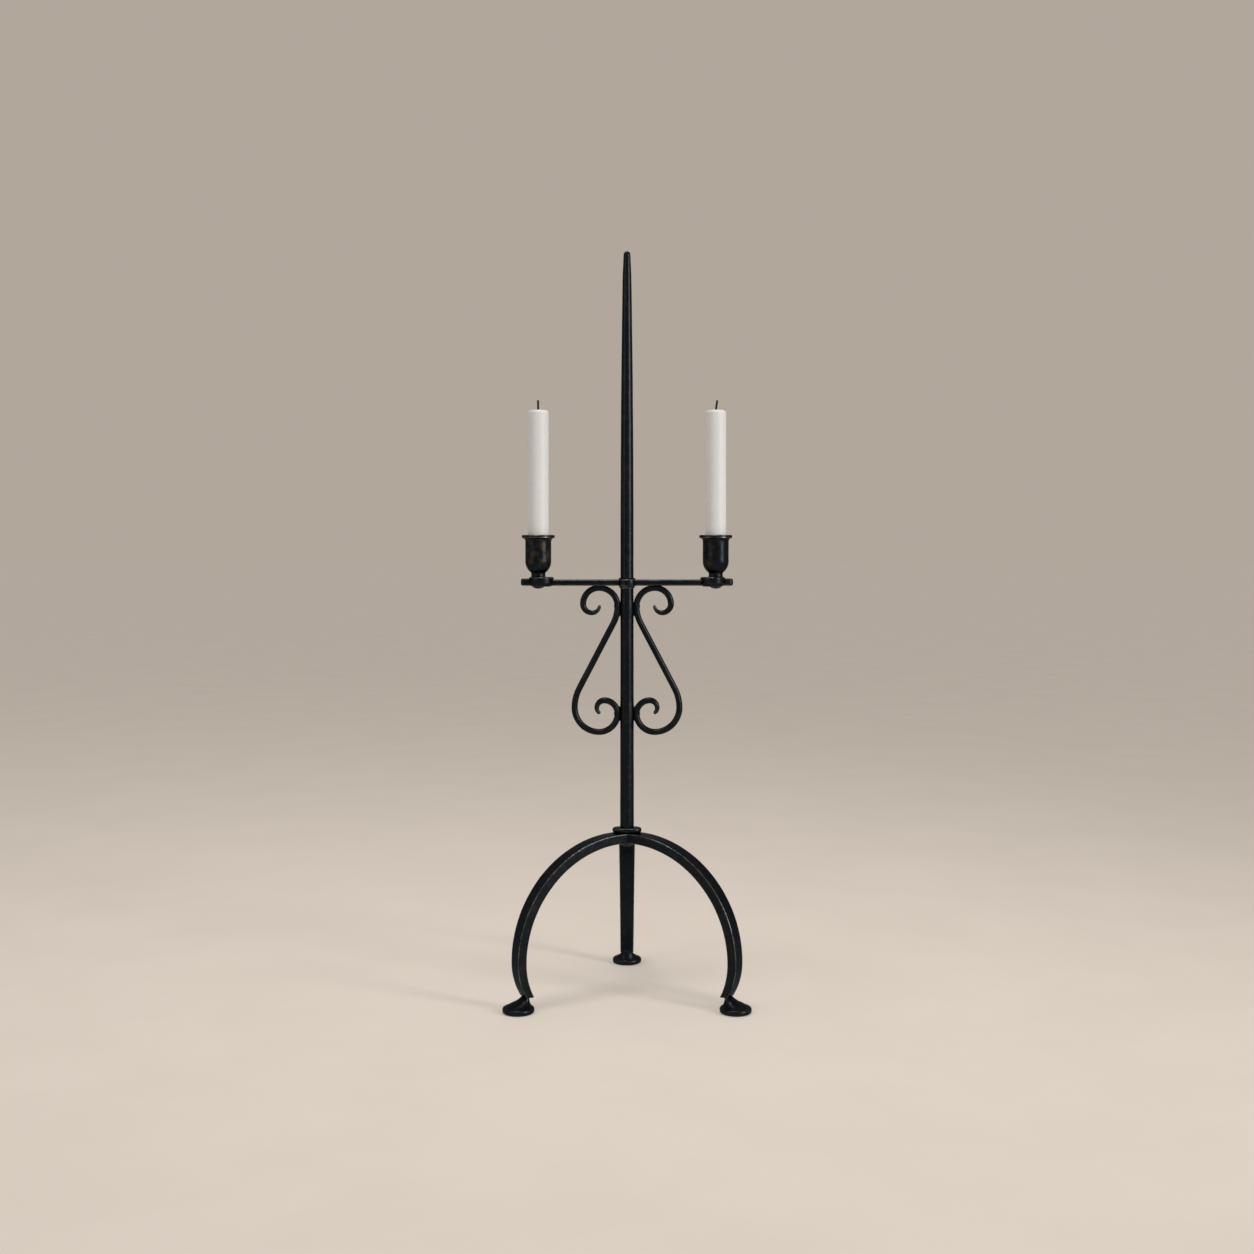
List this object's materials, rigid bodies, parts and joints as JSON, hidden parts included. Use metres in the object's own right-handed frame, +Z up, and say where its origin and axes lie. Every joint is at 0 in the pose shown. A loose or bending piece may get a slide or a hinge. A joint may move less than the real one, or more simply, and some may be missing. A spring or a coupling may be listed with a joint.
{
  "type": "candlestick",
  "caption": "Tall blackened iron candlestick: spiked stem on a tripod of bowed legs, cross bar with candle cups at its ends, scrolls below it, and candles that lift out.",
  "frame": {"origin": "on the floor, in the middle of the footprint's bounding box; the stem's axis stands 32 mm in front of it, on X = 0", "axes": "+Z up along the stem, +X to the right along the cross bar, -Y to the front, where a pair of feet stands; the third foot is at the rear, +Y"},
  "size_m": [0.2542, 0.2246, 0.788],
  "materials": {
    "iron": "blackened, satin",
    "wax": "smooth satin wax",
    "wick": "charred, matte"
  },
  "bodies": {
    "stand": {"stem": "iron", "hub_collar": "iron", "hub_rove": "iron", "crossbar": "iron", "leg_front_left": "iron", "leg_front_right": "iron", "leg_rear": "iron", "foot_front_left": "iron", "foot_front_right": "iron", "foot_rear": "iron", "socket_left": "iron", "socket_right": "iron", "socket_rivet_left": "iron", "socket_rivet_right": "iron", "scroll_left": "iron", "scroll_right": "iron", "scroll_rivet_upper": "iron", "scroll_rivet_lower": "iron"},
    "candle_left": {"candle_left": "wax", "wick_left": "wick"},
    "candle_right": {"candle_right": "wax", "wick_right": "wick"}
  },
  "joints": [
    {"name": "candle_left_lift", "type": "slide", "parent": "stand", "child": "candle_left", "axis": [0, 0, 1], "range_m": [0, 0.045]},
    {"name": "candle_right_lift", "type": "slide", "parent": "stand", "child": "candle_right", "axis": [0, 0, 1], "range_m": [0, 0.045]}
  ]
}
